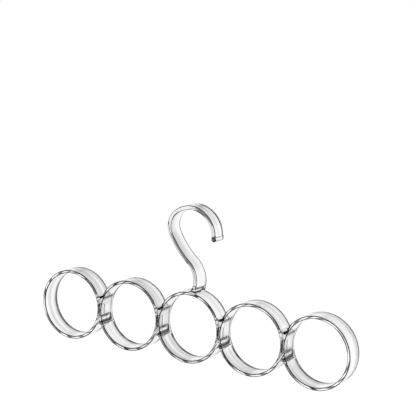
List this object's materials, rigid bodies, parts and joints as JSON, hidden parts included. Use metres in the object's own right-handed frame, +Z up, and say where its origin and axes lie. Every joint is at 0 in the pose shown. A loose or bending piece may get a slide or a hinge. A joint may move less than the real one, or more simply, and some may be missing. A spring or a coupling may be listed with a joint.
{
  "type": "scarf hanger",
  "caption": "Clear scarf hanger: a straight row of round hoops, joined at their necks by slide-in link keys, under an S-shaped hook for a closet rod.",
  "frame": {"origin": "centre of the middle hoop's bore, halfway between its front and back rims", "axes": "+X along the row of hoops to the right as seen from the front, +Y through the hoops to the back, +Z up, towards the hook"},
  "size_m": [0.402, 0.024, 0.1795],
  "materials": {
    "clear_plastic": "gloss",
    "key_plastic": "gloss"
  },
  "bodies": {
    "root": {"left_end_hoop": "clear_plastic", "left_hoop": "clear_plastic", "middle_hoop": "clear_plastic", "right_hoop": "clear_plastic", "right_end_hoop": "clear_plastic", "link_key_1": "key_plastic", "link_key_2": "key_plastic", "link_key_3": "key_plastic", "link_key_4": "key_plastic", "hook": "clear_plastic"}
  },
  "joints": []
}
